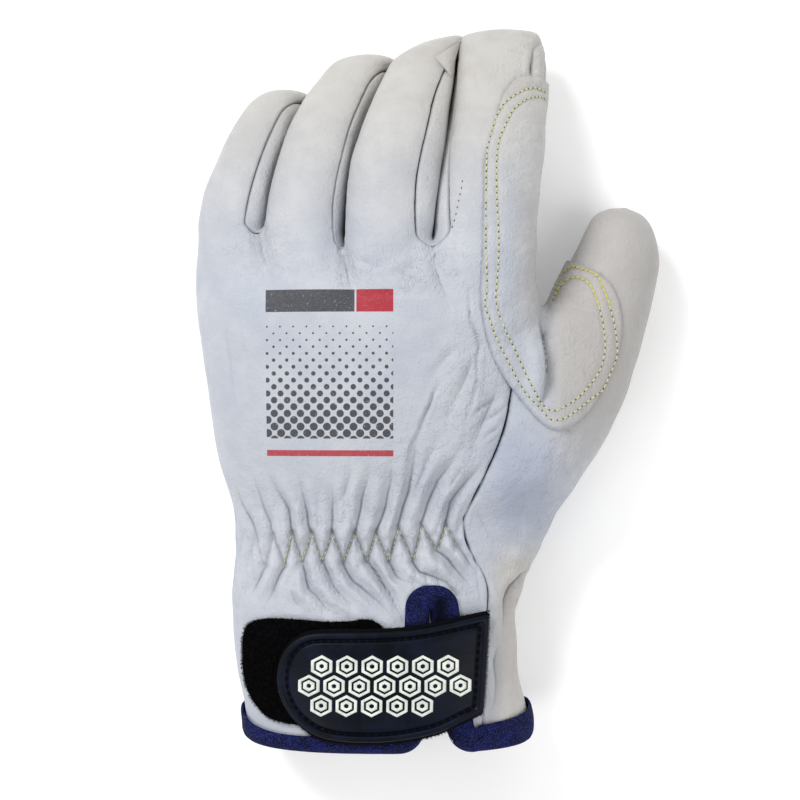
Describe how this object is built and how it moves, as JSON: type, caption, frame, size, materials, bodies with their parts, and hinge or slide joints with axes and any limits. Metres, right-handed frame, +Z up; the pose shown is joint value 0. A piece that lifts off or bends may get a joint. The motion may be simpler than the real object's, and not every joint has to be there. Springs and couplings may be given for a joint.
{
  "type": "cut-resistant rigger glove",
  "caption": "Left-hand leather rigger glove lying palm down, with side strips between the fingers, a patch sewn over the thumb crotch, a bound cuff slit and a hook-and-loop wrist strap.",
  "frame": {"origin": "on the flat of the palm that the glove rests on, below the middle of the hand", "axes": "+X to the thumb side, +Y from the cuff to the fingertips, +Z up through the back of the hand"},
  "size_m": [0.1486, 0.2311, 0.0557],
  "materials": {
    "white_leather": "off-white grain leather, semi-matt, fine grain and creases",
    "navy_twill": "matt navy twill tape",
    "black_pile": "matt black loop pile",
    "black_webbing": "matt black webbing",
    "navy_rubber": "satin moulded rubber, nearly black navy",
    "pale_rubber": "satin pale grey-green rubber inlay",
    "yellow_thread": "pale yellow sewing thread",
    "white_thread": "white sewing thread and elastic"
  },
  "bodies": {
    "root": {"back_panel": "white_leather", "palm_panel": "white_leather", "side_strip_little_ring": "white_leather", "side_strip_ring_middle": "white_leather", "side_strip_middle_index": "white_leather", "thumb_panel": "white_leather", "crotch_patch": "white_leather", "cuff_binding": "navy_twill", "loop_pad": "black_pile", "closure_strap": "black_webbing", "strap_badge": "navy_rubber"}
  },
  "joints": []
}
